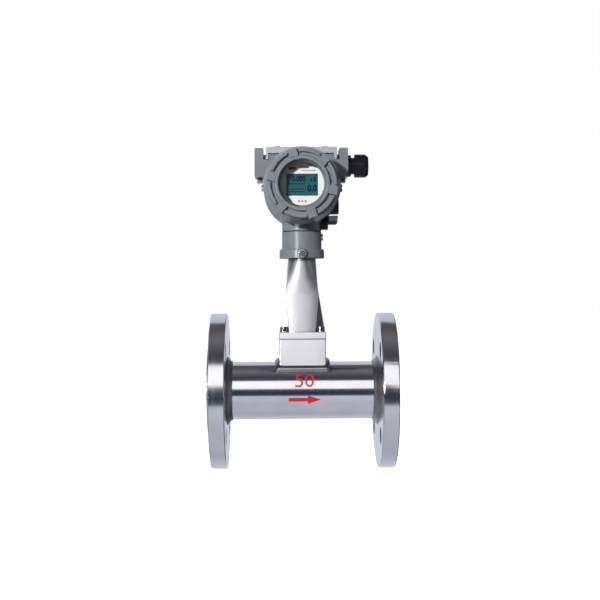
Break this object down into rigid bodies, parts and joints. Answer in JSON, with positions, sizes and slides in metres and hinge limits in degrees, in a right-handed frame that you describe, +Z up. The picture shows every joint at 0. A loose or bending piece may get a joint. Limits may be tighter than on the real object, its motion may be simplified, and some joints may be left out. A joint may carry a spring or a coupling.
{
  "type": "vortex flow meter",
  "caption": "Flanged vortex flow meter for a 50 mm line: bluff body and sensor in a welded steel tube, stainless stem, and a turning two-chamber head with a display.",
  "frame": {"origin": "centre of the inlet raised face, on the line's axis", "axes": "+X with the flow, from the inlet to the outlet; +Z up the stem; the display looks along -Y"},
  "size_m": [0.2, 0.165, 0.3447],
  "materials": {
    "polished_steel": "polished stainless steel, fine turned marks",
    "stem_steel": "bead-blasted and brushed stainless casting",
    "weld_steel": "rippled stainless weld",
    "screw_steel": "plain stainless fasteners",
    "grey_paint": "semi-gloss grey paint on a fine cast surface",
    "pale_plate": "satin anodised sheet",
    "black_plastic": "black moulded nylon",
    "black_rubber": "black nitrile rubber",
    "gasket_sheet": "graphite gasket sheet",
    "window_glass": "clear toughened glass",
    "faceplate": "off-white printed plastic",
    "lcd": "teal liquid-crystal display",
    "board": "green glass-fibre board",
    "potting": "black potted module",
    "terminal_plastic": "moulded terminal block",
    "brass": "nickel-free brass"
  },
  "bodies": {
    "meter": {"flow_tube": "polished_steel", "inlet_flange": "polished_steel", "outlet_flange": "polished_steel", "inlet_flange_weld": "weld_steel", "outlet_flange_weld": "weld_steel", "inlet_bore_weld": "weld_steel", "outlet_bore_weld": "weld_steel", "bluff_body": "polished_steel", "base_block": "polished_steel", "base_block_weld": "weld_steel", "vortex_sensor": "screw_steel", "sensor_gasket": "gasket_sheet", "seat_gasket": "gasket_sheet", "stem_plate": "polished_steel", "stem_screws": "screw_steel", "stem_spring_washers": "screw_steel", "stem": "stem_steel", "sensor_lead": "black_rubber", "lead_connector": "brass"},
    "head": {"neck_adapter": "grey_paint", "swivel_lock_screw": "screw_steel", "swivel_stop_screw": "screw_steel", "neck_seal": "black_rubber", "head_housing": "grey_paint", "adjuster_cap": "black_plastic", "neck_port_cap": "black_plastic", "earth_screw": "screw_steel", "side_plug": "black_plastic", "nameplate": "pale_plate", "nameplate_screws": "screw_steel", "display_faceplate": "faceplate", "lcd_panel": "lcd", "display_board": "board", "display_posts": "brass", "board_standoffs": "brass", "electronics_module": "potting", "wall_feedthrough": "potting", "terminal_block": "terminal_plastic", "terminal_screws": "brass", "gland_body": "black_plastic", "gland_clamp_seal": "black_rubber", "entry_plug": "screw_steel"},
    "display_seal": {"display_cover_seal": "black_rubber"},
    "display_cover": {"display_cover": "grey_paint", "window_gasket": "black_rubber", "window_glass": "window_glass", "window_clamp_ring": "pale_plate"},
    "terminal_seal": {"terminal_cover_seal": "black_rubber"},
    "terminal_cover": {"terminal_cover": "grey_paint"},
    "gland_ring": {"gland_thrust_ring": "black_plastic"},
    "gland_nut": {"gland_dome_nut": "black_plastic"}
  },
  "joints": [
    {"name": "head_swivel", "type": "hinge", "parent": "meter", "child": "head", "pos_m": [0.1, 0, 0.146], "axis": [0, 0, 1], "range_deg": [-160, 160]},
    {"name": "display_cover_advance", "type": "slide", "parent": "head", "child": "display_seal", "axis": [0, -1, 0], "range_m": [0, 0.012]},
    {"name": "display_cover_turn", "type": "hinge", "parent": "display_seal", "child": "display_cover", "pos_m": [0.1, -0.04, 0.2163], "axis": [0, -1, 0], "range_deg": [0, 2160]},
    {"name": "terminal_cover_advance", "type": "slide", "parent": "head", "child": "terminal_seal", "axis": [0, 1, 0], "range_m": [0, 0.012]},
    {"name": "terminal_cover_turn", "type": "hinge", "parent": "terminal_seal", "child": "terminal_cover", "pos_m": [0.1, 0.04, 0.2163], "axis": [0, 1, 0], "range_deg": [0, 2160]},
    {"name": "gland_nut_advance", "type": "slide", "parent": "head", "child": "gland_ring", "axis": [1, 0, 0], "range_m": [0, 0.006]},
    {"name": "gland_nut_turn", "type": "hinge", "parent": "gland_ring", "child": "gland_nut", "pos_m": [0.16, 0.01, 0.2409], "axis": [1, 0, 0], "range_deg": [0, 1440]}
  ],
  "couplings": [
    {"joint": "display_cover_advance", "follows": "display_cover_turn", "m_per_rad": 0.00031831},
    {"joint": "terminal_cover_advance", "follows": "terminal_cover_turn", "m_per_rad": 0.00031831},
    {"joint": "gland_nut_advance", "follows": "gland_nut_turn", "m_per_rad": 0.00023873}
  ]
}
